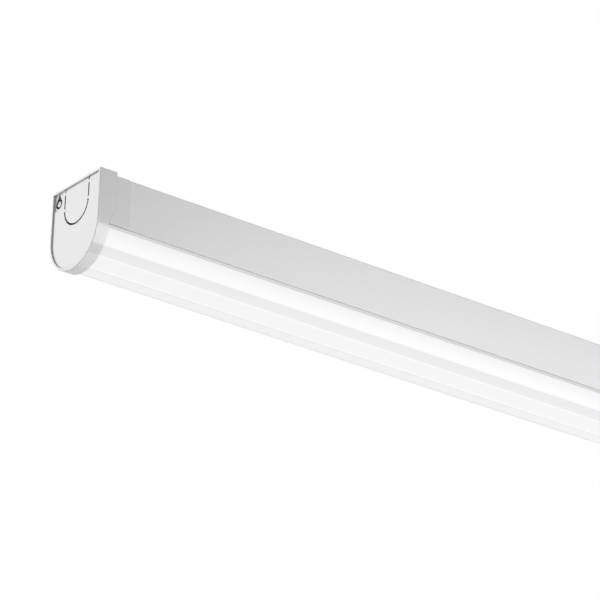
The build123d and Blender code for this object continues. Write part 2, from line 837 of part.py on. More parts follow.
def wire_bush():
    """Ring with a lip on each side of the tray."""
    low = tray_under - bush_lip
    high = tray_top + bush_lip
    ring = rod_z(bush_bore + bush_wall - seat_gap, low, high, bush_place, bush_side)
    for start, end in ((low, tray_under), (tray_top, high)):
        ring += rod_z(bush_outer, start, end, bush_place, bush_side)
    return ring - rod_z(bush_bore, low - cut_over, high + cut_over, bush_place, bush_side)


def earth_tag():
    """Ring tag with a crimped barrel round the earth wire."""
    ring = rod_z(tag_radius, tray_top, tray_top + tag_thickness, tag_place, -tag_side)
    start = tag_place - tag_radius - tag_barrel
    level = tray_top + tag_thickness + mains_wire_radius + seat_gap
    ring += block(
        (start, tag_place - tag_radius / 2),
        (-tag_side - mains_wire_radius, mains_wire_radius - tag_side),
        (tray_top, tray_top + tag_thickness),
    )
    barrel = rod_x(mains_wire_radius + tag_thickness, start, start + tag_barrel, -tag_side, level)
    above = block(
        (start - cut_over, tag_place),
        (-tag_side - tag_radius, tag_radius - tag_side),
        (tray_top, tray_top + terminal_height),
    )
    ring += barrel & above
    ring -= rod_x(mains_wire_radius + turn_gap, start - cut_over, tag_place - tag_radius, -tag_side, level)
    hole = small_radius + seat_gap
    return ring - rod_z(hole, tray_top - cut_over, tray_top + cut_over, tag_place, -tag_side)


def earth_screw():
    screw = Rot(180, 0, 0) * small_screw(tag_thickness + tray_sheet + small_tip)
    return Pos(tag_place, -tag_side, tray_top + tag_thickness) * screw


# Leaf springs across the tray, and the rivets that hold them
def leaf_spring(place):
    bow = spine_inner_half - body_gap - spring_sheet / 2
    level = tray_top + spring_sheet / 2
    knee = tray_edge_top + spring_knee
    right = [
        (spring_foot, level),
        (spring_foot, knee),
        (bow, knee + spring_bow_height),
        (bow - spring_tip_in, knee + spring_bow_height + spring_tip_height),
    ]
    left = [(-y, z) for y, z in reversed(right)]
    section = folded(left + right, spring_sheet, spring_bend)
    spring = extruded_x(section, place - spring_width / 2, place + spring_width / 2)
    for side in (-1, 1):
        hole = rivet_radius + seat_gap
        spring -= rod_z(hole, tray_top - cut_over, tray_top + cut_over, place, side * rivet_side)
    return spring


def spring_rivets():
    rivets = []
    for x, y in rivet_places():
        rivet = rod_z(rivet_radius, tray_under, tray_top + spring_sheet, x, y)
        rivet += rod_z(rivet_head_radius, tray_under - rivet_head_height, tray_under, x, y)
        top = tray_top + spring_sheet
        rivets.append(rivet + rod_z(rivet_head_radius, top, top + rivet_head_height, x, y))
    return Compound(rivets)


# Every piece by the name of its file
pieces = {
    "spine": spine(),
    "cable_grommet": cable_grommet(),
    "left_cap_screw": cap_screw(),
    "right_cap_screw": other_end(cap_screw()),
    "left_screw_cup": screw_cup(),
    "right_screw_cup": other_end(screw_cup()),
    "clamp_nuts": clamp_nuts(),
    "left_end_cap": end_cap(),
    "right_end_cap": other_end(end_cap()),
    "diffuser": diffuser(),
    "gear_tray": gear_tray(),
    "cap_fixing_screws": cap_fixing_screws(),
    "left_led_board": led_board(-1),
    "right_led_board": led_board(1),
    "left_led_chips": led_chips(-1),
    "right_led_chips": led_chips(1),
    "board_link": board_link(),
    "board_inlet": board_inlet(),
    "board_screws": board_screws(),
    "driver_base": driver_base(),
    "driver_cover": driver_cover(),
    "driver_input": driver_input(),
    "driver_output": driver_output(),
    "driver_screws": driver_screws(),
    "terminal_block": terminal_block(),
    "terminal_contacts": terminal_contacts(),
    "live_wire": mains_wire(*input_wire_sides()[0]),
    "neutral_wire": mains_wire(*input_wire_sides()[1]),
    "earth_wire": earth_wire(),
    "led_positive_wire": led_wire(output_levels()[0], 1),
    "led_negative_wire": led_wire(output_levels()[1], -1),
    "wire_bush": wire_bush(),
    "earth_tag": earth_tag(),
    "earth_screw": earth_screw(),
    "left_leaf_spring": leaf_spring(-spring_place),
    "right_leaf_spring": leaf_spring(spring_place),
    "spring_rivets": spring_rivets(),
}
for name, y in zip(("live_lever", "neutral_lever", "earth_lever"), poles()):
    pieces[name] = terminal_lever(y)

os.makedirs("parts", exist_ok=True)
for name, piece in pieces.items():
    export_step(piece, f"parts/{name}.step")
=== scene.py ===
# %% [markdown]
# # A batten light for the ceiling, dressed in Blender
# The engineering model of the light is already finished: every sheet, moulding, wire and screw is in its
# place. This lesson loads it as a fixed frame and gives it what a drawing lacks: a smooth opal diffuser,
# proper screw heads, paint, plastic, rubber and metal, and the light of a small photo studio.

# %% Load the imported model
import math

import bmesh
import bpy
from mathutils import Matrix, Vector


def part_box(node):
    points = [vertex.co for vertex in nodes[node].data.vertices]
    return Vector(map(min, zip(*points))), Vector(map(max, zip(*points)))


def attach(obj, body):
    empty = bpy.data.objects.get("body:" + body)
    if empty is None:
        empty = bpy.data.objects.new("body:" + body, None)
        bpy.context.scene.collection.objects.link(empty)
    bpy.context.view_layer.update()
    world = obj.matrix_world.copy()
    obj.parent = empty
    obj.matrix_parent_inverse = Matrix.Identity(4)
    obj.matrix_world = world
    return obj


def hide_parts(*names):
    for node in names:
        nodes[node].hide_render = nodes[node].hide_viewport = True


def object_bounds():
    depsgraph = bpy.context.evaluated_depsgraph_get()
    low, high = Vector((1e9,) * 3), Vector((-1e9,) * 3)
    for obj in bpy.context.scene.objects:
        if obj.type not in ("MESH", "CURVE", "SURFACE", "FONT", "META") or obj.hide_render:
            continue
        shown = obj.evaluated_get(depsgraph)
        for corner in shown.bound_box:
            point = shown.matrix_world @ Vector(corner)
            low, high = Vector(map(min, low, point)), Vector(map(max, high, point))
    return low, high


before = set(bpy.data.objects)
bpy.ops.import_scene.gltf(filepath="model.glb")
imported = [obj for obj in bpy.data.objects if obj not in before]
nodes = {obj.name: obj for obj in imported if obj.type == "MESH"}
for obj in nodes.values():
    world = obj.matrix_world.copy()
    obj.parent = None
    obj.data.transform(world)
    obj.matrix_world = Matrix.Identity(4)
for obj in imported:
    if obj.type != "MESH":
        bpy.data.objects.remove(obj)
cad_low, cad_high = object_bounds()
MM = 0.001

# %% [markdown]
# ## The camera
# The photograph looks up at the left end of the light from below, through a long lens, so the edges that run
# along the light stay almost parallel. A camera could be placed by eye, but here it is worked out: two angles
# and a little roll turn it, and the top of the light's end is pinned to the pixel where the photograph has it.

# %% Camera
image_width = 600  # pixels
sensor_width = 36.0  # millimetres
focal_pixels = 3500.0
camera_azimuth = math.radians(-36.8)
camera_elevation = math.radians(-23.91)
camera_roll = math.radians(1.74)
camera_distance = 2.546
end_top_pixel = (76.42, 180.73)

back = Vector((
    math.sin(camera_azimuth) * math.cos(camera_elevation),
    -math.cos(camera_azimuth) * math.cos(camera_elevation),
    math.sin(camera_elevation),
))
level = Vector((0, 0, 1)).cross(back).normalized()
upright = back.cross(level)
right = math.cos(camera_roll) * level + math.sin(camera_roll) * upright
up = math.cos(camera_roll) * upright - math.sin(camera_roll) * level
metres_per_pixel = camera_distance / focal_pixels
across = (end_top_pixel[0] - image_width / 2) * metres_per_pixel
above = (image_width / 2 - end_top_pixel[1]) * metres_per_pixel
end_top = Vector((cad_low.x, 0, cad_high.z))
eye = end_top - across * right - above * up + camera_distance * back

camera = bpy.data.objects.new("camera", bpy.data.cameras.new("camera"))
camera.data.sensor_width = sensor_width
camera.data.lens = focal_pixels * sensor_width / image_width
camera.matrix_world = Matrix.Translation(eye) @ Matrix((right, up, back)).transposed().to_4x4()
bpy.context.scene.collection.objects.link(camera)
bpy.context.scene.camera = camera
print(f"camera at {tuple(round(c, 2) for c in eye)} with a {camera.data.lens:.0f} mm lens")

# %% [markdown]
# ## Shader sums in plain Python
# Node trees get long when every plus and minus is a node placed by hand. Here one small class wraps a socket:
# sums and products on it add the Math nodes, and its node() method adds any other node from its type, its
# settings and what goes into its sockets.

# %% A socket that does arithmetic
class Value:
    """A shader socket. Arithmetic on it adds Math nodes to the tree in hand."""

    tree = None

    def __init__(self, socket):
        self.socket = socket

    @classmethod
    def node(cls, kind, settings=None, sockets=None, output=0):
        """Add a node, set it up, fill its sockets with numbers or links, and return one of its outputs."""
        made = cls.tree.nodes.new("ShaderNode" + kind)
        for name, setting in (settings or {}).items():
            setattr(made, name, setting)
        for name, given in (sockets or {}).items():
            if isinstance(given, Value):
                cls.tree.links.new(given.socket, made.inputs[name])
            else:
                made.inputs[name].default_value = given
        return cls(made.outputs[output]) if made.outputs else made

    @staticmethod
    def math(operation, first, second=0.0):
        return Value.node("Math", {"operation": operation}, {0: first, 1: second})

    def __add__(self, other):
        return self.math("ADD", self, other)

    def __radd__(self, other):
        return self.math("ADD", other, self)

    def __sub__(self, other):
        return self.math("SUBTRACT", self, other)

    def __rsub__(self, other):
        return self.math("SUBTRACT", other, self)

    def __mul__(self, other):
        return self.math("MULTIPLY", self, other)

    def __rmul__(self, other):
        return self.math("MULTIPLY", other, self)

    def __truediv__(self, other):
        return self.math("DIVIDE", self, other)

    def __lt__(self, other):
        return self.math("LESS_THAN", self, other)

    def __gt__(self, other):
        return self.math("GREATER_THAN", self, other)

    def __abs__(self):
        return self.math("ABSOLUTE", self)

    def fraction(self):
        return self.math("FRACT", self)


print("sums ready")

# %% [markdown]
# ## Studio
# The photograph is a cut-out on pure white. The world is therefore white where the camera sees it and a dim
# grey where it only lights the object. Softboxes do the rest. A wide one below with a brighter strip along
# each long edge, and a near one in front, are what the glossy diffuser shows as long pale bands. A large one
# beyond each end, towards the far side, lights that end cap's face and leaves one side of its slits in shade;
# a smaller and brighter one would burn out in the cap's gloss. A dim one behind keeps the lowest edge of the
# diffuser pale, and one above is there for views from that side.

# %% World
ambient = 0.20

world = bpy.data.worlds.new("studio")
world.use_nodes = True
world.node_tree.nodes.clear()
bpy.context.scene.world = world
bpy.context.scene.view_settings.view_transform = "Standard"
Value.tree = world.node_tree
seen = Value.node("Background", sockets={"Color": (1, 1, 1, 1), "Strength": 1.0})
unseen = Value.node("Background", sockets={"Color": (1, 1, 1, 1), "Strength": ambient})
is_camera = Value.node("LightPath")
shown = Value.node("MixShader", sockets={0: is_camera, 1: unseen, 2: seen})
Value.node("OutputWorld", sockets={"Surface": shown})
print("world ready")

# %% Softboxes
along_x = 0.7  # a lamp with more X than this in its direction counts as facing along X


def softbox(name, centre, aim, length, height, radiance):
    """A rectangular lamp whose long side runs along X, or along Y when it faces along X."""
    away = (Vector(centre) - Vector(aim)).normalized()
    run = Vector((1, 0, 0)) if abs(away.x) < along_x else Vector((0, 1, 0))
    run = (run - run.dot(away) * away).normalized()
    data = bpy.data.lights.new(name, "AREA")
    data.shape = "RECTANGLE"
    data.size = length
    data.size_y = height
    data.energy = radiance * math.pi * length * height
    lamp = bpy.data.objects.new(name, data)
    turn = Matrix((run, away.cross(run), away)).transposed().to_4x4()
    lamp.matrix_world = Matrix.Translation(centre) @ turn
    lamp.visible_camera = False
    bpy.context.scene.collection.objects.link(lamp)


left_end = (-0.6, 0, -0.03)
right_end = (0.6, 0, -0.03)
softboxes = [  # name, centre, aim, length, height, radiance; metres, and a radiance of 1 looks white
    ("under_box", (0.6, 0.30, -1.70), right_end, 4.0, 1.6, 0.7),
    ("near_strip", (0.6, -0.42, -1.70), right_end, 4.0, 0.18, 0.7),
    ("far_strip", (0.6, 1.18, -1.65), right_end, 4.0, 0.07, 2.0),
    ("front_box", (-0.02, -0.35, -0.16), (-0.02, 0, -0.16), 1.26, 0.39, 1.75),
    ("end_box", (-2.2, 0.8, 0.2), left_end, 2.6, 2.6, 1.5),
    ("back_box", (1.2, 1.9, -0.4), (1.2, 0, -0.03), 3.2, 2.8, 0.42),
    ("top_box", (0.0, 1.0, 1.7), (0.0, 0, 0), 3.0, 1.4, 1.1),
    ("other_end_box", (2.2, 0.8, 0.2), right_end, 2.6, 2.6, 1.4),
]
for row in softboxes:
    softbox(*row)
print(len(bpy.data.lights), "softboxes")

# %% [markdown]
# ## Finishes
# Each finish is a small function. It starts a material, takes its pattern from Object coordinates, so that the
# pattern is as large on every piece as it is in metres, and ends by joining the colour, the roughness and the
# bump to one Principled shader. Some finishes darken their colour where two pieces meet, as painted shade; the
# ambient occlusion node finds those corners.

# %% Helpers for finishes
edge_samples = 6
corner_samples = 8
mix_a, mix_b, mix_result = 6, 7, 2  # a Mix node's sockets for colours


def start(name):
    """A new material with an empty tree, ready for Value."""
    material = bpy.data.materials.new(name)
    material.use_nodes = True
    material.node_tree.nodes.clear()
    Value.tree = material.node_tree
    return material


def place():
    return Value.node("TexCoord", output="Object")


def axis(vector, index):
    return Value.node("SeparateXYZ", sockets={0: vector}, output=index)


def noise(scale, detail=2.0, vector=None):
    """Cloudy grey from 0 to 1; scale is in spots per metre."""
    return Value.node("TexNoise", sockets={"Scale": scale, "Detail": detail, "Vector": vector or place()})


def stretched(along, around):
    """Object coordinates squeezed along X, for marks that run with an extrusion."""
    return Value.node("Mapping", sockets={"Vector": place(), "Scale": (along, around, around)})


def blend(dark, light, amount):
    """From one colour to another; each is a triple or an earlier blend."""
    low, high = (one if isinstance(one, Value) else (*one, 1) for one in (dark, light))
    sockets = {"Factor": amount, mix_a: low, mix_b: high}
    return Value.node("Mix", {"data_type": "RGBA"}, sockets, output=mix_result)


def soft_edge(radius):
    """Normals that round off sharp edges in the picture."""
    return Value.node("Bevel", {"samples": edge_samples}, {"Radius": radius})


def openness(reach):
    """1 in the open, towards 0 in corners within that reach; it masks painted shade."""
    return Value.node("AmbientOcclusion", {"samples": corner_samples}, {"Distance": reach}, output="AO")


def bump(height, depth, strength, edge):
    """Relief of that depth in metres, on normals whose edges are rounded."""
    sockets = {"Height": height, "Distance": depth, "Strength": strength, "Normal": soft_edge(edge)}
    return Value.node("Bump", sockets=sockets)


def finish(**inputs):
    """Close the tree with a Principled shader."""
    names = {key: key.replace("_", " ").title() for key in inputs}
    names.update(coat_ior="Coat IOR")
    shader = Value.node("BsdfPrincipled", sockets={names[key]: given for key, given in inputs.items()})
    Value.node("OutputMaterial", sockets={"Surface": shader})


def put(material, *names):
    """Give CAD nodes their finish."""
    for name in names:
        if not nodes[name].material_slots:
            nodes[name].data.materials.append(material)
        for slot in nodes[name].material_slots:
            slot.material = material


print("helpers ready")

# %% [markdown]
# ## Floor
# A plain pale sheet far below the light. The ceiling light never touches it: it is there so that views from
# above end on paper and not on nothing. The paper gets a faint fibre so that it doesn't look like a flat fill,
# and a glow that only the camera sees, which keeps it pale without lighting the object from below. It fades
# out towards its edges, and from underneath it isn't there.

# %% Floor
floor_depth = 12.0
floor_size = 40.0
fade_from, fade_to = 7.0, 19.0  # metres from the middle
paper_glow = 0.6
bpy.ops.object.select_all(action="DESELECT")
bpy.ops.mesh.primitive_plane_add(size=floor_size, location=(0, 0, -floor_depth))
floor = bpy.context.object
floor.name = "floor"
floor.data.materials.append(start("paper"))
from_middle = Value.node("VectorMath", {"operation": "LENGTH"}, {0: place()}, output="Value")
fade_limits = {0: from_middle, 1: fade_from, 2: fade_to}
fade = Value.node("MapRange", {"interpolation_type": "SMOOTHSTEP"}, fade_limits)
under_side = Value.node("NewGeometry", output="Backfacing")
finish(
    base_color=blend((0.86, 0.86, 0.86), (0.89, 0.89, 0.88), noise(3, 4)),
    roughness=0.8,
    normal=bump(noise(120, 5), 0.0006, 0.2, 0.0),
    emission_color=blend((0, 0, 0), (1, 1, 1), Value.node("LightPath")),
    emission_strength=paper_glow,
    alpha=(1 - fade) * (1 - under_side),
)
print("floor", floor_size, "m wide")

# %% [markdown]
# ## Painted steel
# The spine and the gear tray are folded sheet with a baked powder coat. Powder melts into a skin with a very
# fine orange peel. A normal map would need an image, so a small noise gives the peel its height, and slow
# clouds of noise vary the grey and the gloss by a percent or two.

# %% Powder coat
powder_painted_shade = (0.3, 0.3, 0.3)
corner_reach = 0.002
peel_scale = 700
peel_depth = 0.00012
peel_strength = 0.3
fold_edge = 0.0004


def powder_coat(name, dark, light, roughness):
    material = start(name)
    # Painted shade: the colour darkens towards a grey in corners that the ambient occlusion node finds.
    finish(
        base_color=blend(powder_painted_shade, blend(dark, light, noise(9, 3)), openness(corner_reach)),
        roughness=roughness + 0.08 * noise(60, 4),
        normal=bump(noise(peel_scale), peel_depth, peel_strength, fold_edge),
        coat_weight=0.15,
        coat_roughness=0.25,
    )
    return material


put(powder_coat("spine_paint", (0.82, 0.82, 0.825), (0.84, 0.84, 0.84), 0.40), "spine")
put(powder_coat("tray_paint", (0.82, 0.82, 0.81), (0.86, 0.86, 0.85), 0.30), "gear_tray")
print("steel painted")

# %% [markdown]
# ## Moulded plastic
# End caps, driver, plugs, terminal and levers come out of steel moulds. The mould is spark-eroded to a very
# fine grain, and the melt leaves faint clouds of colour where it flowed. The same function serves every
# moulding, with its own colours and depth of grain. The end caps come from a polished mould, so a clear coat
# gives them a gloss that bends the softboxes round their undersides.

# %% Mouldings
moulding_painted_shade = (0.2, 0.2, 0.2)
spark_scale = 2600
spark_depth = 0.00006


def moulding(name, dark, light, roughness, grain=0.25, edge=0.00035, gloss=0.0, shade=0.0):
    material = start(name)
    colour = blend(dark, light, noise(22, 4))
    # Painted shade: when shade is given, the colour darkens towards a grey in corners within that reach.
    if shade:
        colour = blend(moulding_painted_shade, colour, openness(shade))
    finish(
        base_color=colour,
        roughness=roughness + 0.1 * noise(180, 3),
        normal=bump(noise(spark_scale, 3), spark_depth, grain, edge),
        coat_weight=gloss,
        coat_roughness=0.13,
        coat_ior=1.8,
    )
    return material


# The end caps get painted shade in their corners and slits.
put(
    moulding(
        "cap_white", (0.825, 0.825, 0.82), (0.85, 0.85, 0.845), 0.36,
        edge=0.00015, gloss=1.0, shade=corner_reach,
    ),
    "left_end_cap", "right_end_cap",
)
# The cups round the end screws are near black: a dark lining that paints the shadow in the screw holes.
put(
    moulding("cup_black", (0.008, 0.008, 0.009), (0.02, 0.02, 0.022), 0.55),
    "left_screw_cup", "right_screw_cup",
)
put(
    moulding("driver_white", (0.77, 0.78, 0.78), (0.81, 0.82, 0.82), 0.45, grain=0.5),
    "driver_base", "driver_cover",
)
put(
    moulding("connector_white", (0.80, 0.80, 0.75), (0.85, 0.85, 0.81), 0.28),
    "board_link", "board_inlet", "driver_input", "driver_output",
)
put(moulding("terminal_grey", (0.40, 0.42, 0.43), (0.46, 0.48, 0.49), 0.30), "terminal_block")
put(
    moulding("lever_orange", (0.80, 0.26, 0.03), (0.87, 0.31, 0.045), 0.26),
    "live_lever", "neutral_lever", "earth_lever",
)
print("mouldings done")

# %% [markdown]
# ## Rubber
# The cable grommet and the little wire bush are black rubber: dull, with a dusty bloom in places. A coarse
# noise raises the roughness where the bloom is.

# %% Rubber
rubber = start("grommet_rubber")
finish(
    base_color=blend((0.035, 0.035, 0.037), (0.06, 0.06, 0.062), noise(120, 4)),
    roughness=0.62 + 0.2 * noise(500, 3),
    normal=bump(noise(1800, 3), 0.00008, 0.4, 0.0003),
)
put(rubber, "cable_grommet", "wire_bush")
print("rubber done")

# %% [markdown]
# ## Bare metals
# Zinc-plated screws and nuts, spring steel and brass all share one recipe: a metallic shader whose colour and
# roughness drift a little, with a fine scratch of bump. The screws in the end caps get a paler, more satin
# copy of the zinc; its paleness is a painted highlight that makes those heads look brightly lit. Spring steel
# gets its rolling marks across the strip from a stretched noise.

# %% Metals
scratch_scale = 2500
scratch_depth = 0.00003
scratch_strength = 0.3
metal_edge = 0.0002
rolling = (2500, 60)  # marks per metre along X, and around


def metal(name, dark, light, roughness, pattern=None):
    material = start(name)
    marks = noise(1, 3, stretched(*pattern)) if pattern else noise(scratch_scale)
    finish(
        base_color=blend(dark, light, noise(300, 3)),
        metallic=1.0,
        roughness=roughness + 0.15 * noise(900, 4),
        normal=bump(marks, scratch_depth, scratch_strength, metal_edge),
    )
    return material


zinc = metal("zinc_steel", (0.66, 0.67, 0.69), (0.84, 0.85, 0.86), 0.22)
# A paler copy of the zinc: its paleness is a painted highlight on the end screws.
painted_highlight_satin_zinc = metal("painted_highlight_satin_zinc", (0.90, 0.90, 0.91), (0.96, 0.96, 0.97), 0.55)
put(zinc, "clamp_nuts")
put(
    metal("contact_brass", (0.70, 0.52, 0.22), (0.82, 0.64, 0.32), 0.2),
    "terminal_contacts", "earth_tag",
)
put(
    metal("spring_steel", (0.42, 0.43, 0.45), (0.54, 0.55, 0.57), 0.28, rolling),
    "left_leaf_spring", "right_leaf_spring",
)
print("metals done")

# %% [markdown]
# ## Wires
# Each conductor has its own colour, and the earth wire has the two that every electrician knows. Its yellow
# stripe could be a second mesh. Here the surface's own normal tells how far round the wire a point lies,
# which is enough to wind the stripe round it.

# %% Wire insulation
stripe_pitch = 28 * MM
stripe_share = 0.35


def insulation(name, dark, light, stripe=None):
    material = start(name)
    colour = blend(dark, light, noise(90, 3))
    if stripe:
        normal = Value.node("TexCoord", output="Normal")
        turn = Value.math("ARCTAN2", axis(normal, 1), axis(normal, 2)) / math.tau
        along = axis(place(), 0) / stripe_pitch
        colour = blend(colour, stripe, (turn + along).fraction() < stripe_share)
    finish(
        base_color=colour,
        roughness=0.34 + 0.12 * noise(400, 3),
        normal=bump(noise(1400), 0.00004, 0.25, 0.0001),
    )
    return material


put(insulation("wire_brown", (0.17, 0.07, 0.03), (0.22, 0.1, 0.045)), "live_wire")
put(insulation("wire_blue", (0.04, 0.14, 0.42), (0.06, 0.19, 0.52)), "neutral_wire")
put(
    insulation("wire_green_yellow", (0.03, 0.22, 0.05), (0.05, 0.28, 0.07), stripe=(0.75, 0.62, 0.06)),
    "earth_wire",
)
put(insulation("wire_red", (0.48, 0.03, 0.02), (0.58, 0.05, 0.035)), "led_positive_wire")
put(insulation("wire_black", (0.02, 0.02, 0.02), (0.04, 0.04, 0.04)), "led_negative_wire")
print("wires done")

# %% [markdown]
# ## LED boards
# Under the diffuser lie two white boards with a row of LEDs. A real board shows its copper as faint bands
# under the white mask, and bright pads beside each LED. Each LED is a white cup with a yellow phosphor window.
# The boards are flat, so sums on X and Y draw all of that without any more mesh.

# %% Boards and chips
chip_first = 10.5 * MM  # from the middle of the light
chip_pitch = 12 * MM
pad_half = 3.0 * MM
pad_reach = 1.1 * MM
window_half = (1.25 * MM, 1.0 * MM)
copper_side = 6.5 * MM
copper_half = 3.0 * MM


def chip_offset():
    """How far along the board a point lies from the middle of its LED."""
    steps = (abs(axis(place(), 0)) - chip_first) / chip_pitch
    return abs((steps + 0.5).fraction() - 0.5) * chip_pitch


board = start("board_mask")
across_board = abs(axis(place(), 1))
copper = abs(across_board - copper_side) < copper_half
pad = (chip_offset() < pad_half) * (across_board < pad_reach)
mask_colour = blend((0.85, 0.85, 0.83), (0.89, 0.89, 0.87), copper)
finish(
    base_color=blend(mask_colour, (0.72, 0.73, 0.74), pad),
    metallic=pad,
    roughness=0.36 - 0.12 * pad + 0.05 * noise(300, 3),
    normal=bump(copper + pad, 0.00004, 0.5, 0.0002),
)
put(board, "left_led_board", "right_led_board")

chips = start("chip_phosphor")
window = (chip_offset() < window_half[0]) * (abs(axis(place(), 1)) < window_half[1])
phosphor = blend((0.84, 0.62, 0.12), (0.92, 0.72, 0.2), noise(1500))
finish(
    base_color=blend((0.88, 0.87, 0.83), phosphor, window),
    roughness=0.42 - 0.2 * window,
    normal=bump(1 - window, 0.0001, 0.6, 0.0001),
)
put(chips, "left_led_chips", "right_led_chips")
print("boards done")

# %% [markdown]
# ## Tools for modelling
# The next pieces are made as by hand: a primitive, then edit mode. These helpers start a piece from a single
# vertex, select by place, and hand a finished piece to the frame, so that it moves with its body and stands
# for its CAD node.

# %% Helpers for modelling
tiny = 0.001 * MM
smooth_angle = math.radians(32)


def one_vertex(point):
    """A new object in edit mode with one selected vertex."""
    bpy.ops.object.select_all(action="DESELECT")
    bpy.ops.mesh.primitive_plane_add(size=MM, location=point)
    bpy.ops.object.transform_apply(location=True)
    bpy.ops.object.mode_set(mode="EDIT")
    bpy.ops.mesh.merge(type="CENTER")


def move_on(steps):
    """Draw a line of edges: extrude the selected vertex by each step in turn."""
    for step in steps:
        bpy.ops.mesh.extrude_region_move(TRANSFORM_OT_translate={"value": step})


def pick(test):
    """Select what lies where the test says."""
    bpy.ops.mesh.select_mode(type="VERT")
    bpy.ops.mesh.select_all(action="DESELECT")
    mesh = bmesh.from_edit_mesh(bpy.context.object.data)
    for vertex in mesh.verts:
        if test(vertex.co):
            vertex.select_set(True)
    mesh.select_flush(True)
    bmesh.update_edit_mesh(bpy.context.object.data)


def close_up():
    """Merge doubles, point the faces outwards and leave edit mode."""
    bpy.ops.mesh.select_all(action="SELECT")
    bpy.ops.mesh.remove_doubles(threshold=tiny)
    bpy.ops.mesh.normals_make_consistent(inside=False)
    bpy.ops.object.mode_set(mode="OBJECT")
    bpy.ops.object.shade_smooth_by_angle(angle=smooth_angle)


def hand_over(piece, name, node, body, material):
    """The finished piece takes the place of a CAD node."""
    piece.name = name
    piece.data.materials.clear()
    piece.data.materials.append(material)
    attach(piece, body)
    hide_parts(node)
    print(name, len(piece.data.polygons), "faces")


print("tools ready")

# %% [markdown]
# ## The diffuser's shape
# The round opal trough is what one sees most, and its reflections show every flat. So its section is drawn
# again, much finer than the CAD mesh: one vertex at the bottom is spun up the outside, led round the groove,
# the bead, the leg and its hook, and spun back down the inside. The half section is drawn out along the
# light and mirrored.

# %% Sizes of the diffuser's section
arc_level = -39.5 * MM
wall = 1.6 * MM
leg_outer = 28.2 * MM
leg_inner = 26.9 * MM
shoulder = -41.65 * MM
bead_under = -43.65 * MM
groove_under = -44.15 * MM
groove_depth = 0.5 * MM
hook_reach = 1.1 * MM
hook_height = 1.4 * MM
tray_under = -43.1 * MM
ledge_half = 25.5 * MM
ledge_under = -44.3 * MM
arc_steps = 72

trough_low, trough_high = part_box("diffuser")
outer_radius = arc_level - trough_low.z
inner_radius = outer_radius - wall
outer_turn = math.acos((arc_level - groove_under) / outer_radius)
inner_turn = math.acos((arc_level - ledge_under) / inner_radius)
groove_half = outer_radius * math.sin(outer_turn)
bead_half = math.sqrt(outer_radius**2 - (arc_level - bead_under) ** 2)
hook_under = trough_high.z - hook_height
corners = [
    (groove_half, groove_under), (groove_half - groove_depth, groove_under),
    (groove_half - groove_depth, bead_under), (bead_half, bead_under), (bead_half, shoulder),
    (leg_outer, shoulder), (leg_outer, trough_high.z), (leg_inner, trough_high.z),
    (leg_inner - hook_reach, hook_under + hook_height / 3), (leg_inner - hook_reach, hook_under),
    (leg_inner, hook_under), (leg_inner, tray_under), (ledge_half, tray_under), (ledge_half, ledge_under),
    (inner_radius * math.sin(inner_turn), ledge_under),
]
steps = [(0, after[0] - now[0], after[1] - now[1]) for now, after in zip(corners, corners[1:])]
arc_centre = (trough_low.x, 0, arc_level)
print(f"outer radius {outer_radius / MM:.2f} mm, {len(corners)} corners a side")

# %% The section drawn out
one_vertex((trough_low.x, 0, trough_low.z))
bpy.ops.mesh.spin(steps=arc_steps, angle=-outer_turn, center=arc_centre, axis=(1, 0, 0))
move_on(steps)
bpy.ops.mesh.spin(steps=arc_steps, angle=inner_turn, center=arc_centre, axis=(1, 0, 0))
bpy.ops.mesh.select_all(action="SELECT")
bpy.ops.mesh.extrude_region_move(TRANSFORM_OT_translate={"value": (trough_high.x - trough_low.x, 0, 0)})
bpy.ops.object.mode_set(mode="OBJECT")
trough = bpy.context.object
mirror = trough.modifiers.new("other side", "MIRROR")
mirror.use_axis = (False, True, False)
mirror.merge_threshold = tiny
bpy.ops.object.modifier_apply(modifier=mirror.name)
bpy.ops.object.mode_set(mode="EDIT")
for end in (trough_low.x, trough_high.x):
    pick(lambda point: abs(point.x - end) < tiny)
    bpy.ops.mesh.edge_face_add()
close_up()
print("trough", len(trough.data.polygons), "faces")

# %% [markdown]
# ## The diffuser's opal
# Opal polycarbonate is drawn through a die, so it has the faintest lines along it under a clear gloss. Light
# wanders inside it and comes out all over, which a volume or a subsurface shader would give at a price in
# render time. Here painted light stands in for it, which reads the same at this size: a soft glow on the
# outside, painted a little weaker up the sides and, as painted shade, weaker in corners, under a coat that
# mirrors the softboxes. The base colour is kept dark, so that the painted glow rather than the lamps sets how
# bright it looks.

# %% Opal
glow_aside = 0.78  # at the level of the arc's centre
glow_gain = 0.31  # more at the very bottom
glow_in_corners = 0.55
glow_strength = 0.81
glow_corner_reach = 0.003

opal = start("diffuser_opal")
die_lines = noise(1, 3, stretched(0.6, 900))
aside = axis(place(), 1)
below = axis(place(), 2) - arc_level
outside = aside * aside + below * below > (outer_radius - wall / 2) ** 2
# Painted light: the glow is painted stronger towards the bottom and weaker up the sides.
painted_light_below = Value.math("MINIMUM", glow_aside - glow_gain * below / outer_radius, 1.0)
# Painted shade: less glow in corners that the ambient occlusion node finds.
glow_painted_shade = glow_in_corners + (1 - glow_in_corners) * openness(glow_corner_reach)
glow = outside * painted_light_below * glow_painted_shade
finish(
    base_color=blend((0.07, 0.07, 0.07), (0.09, 0.09, 0.09), noise(12)),
    roughness=0.3 + 0.06 * die_lines,
    normal=bump(die_lines, 0.00003, 0.2, 0.00015),
    coat_weight=1.0,
    coat_roughness=0.03,
    coat_ior=1.7,
    emission_color=blend((0, 0, 0), (1, 1, 1), glow),
    emission_strength=glow_strength,
)
hand_over(trough, "opal_diffuser", "diffuser", "light_engine", opal)

# %% [markdown]
# ## Screws
# Every screw here is a pan head with a crossed recess. The head is a cylinder whose upper edge is bevelled
# round, the shank is drawn out of its underside, and two crossed blocks cut the recess with a Boolean.

# %% Screw model
head_sides = 48
rounding_share = 0.55  # of the head's height
rounding_steps = 5
tip_share = 0.7  # of the shank's width


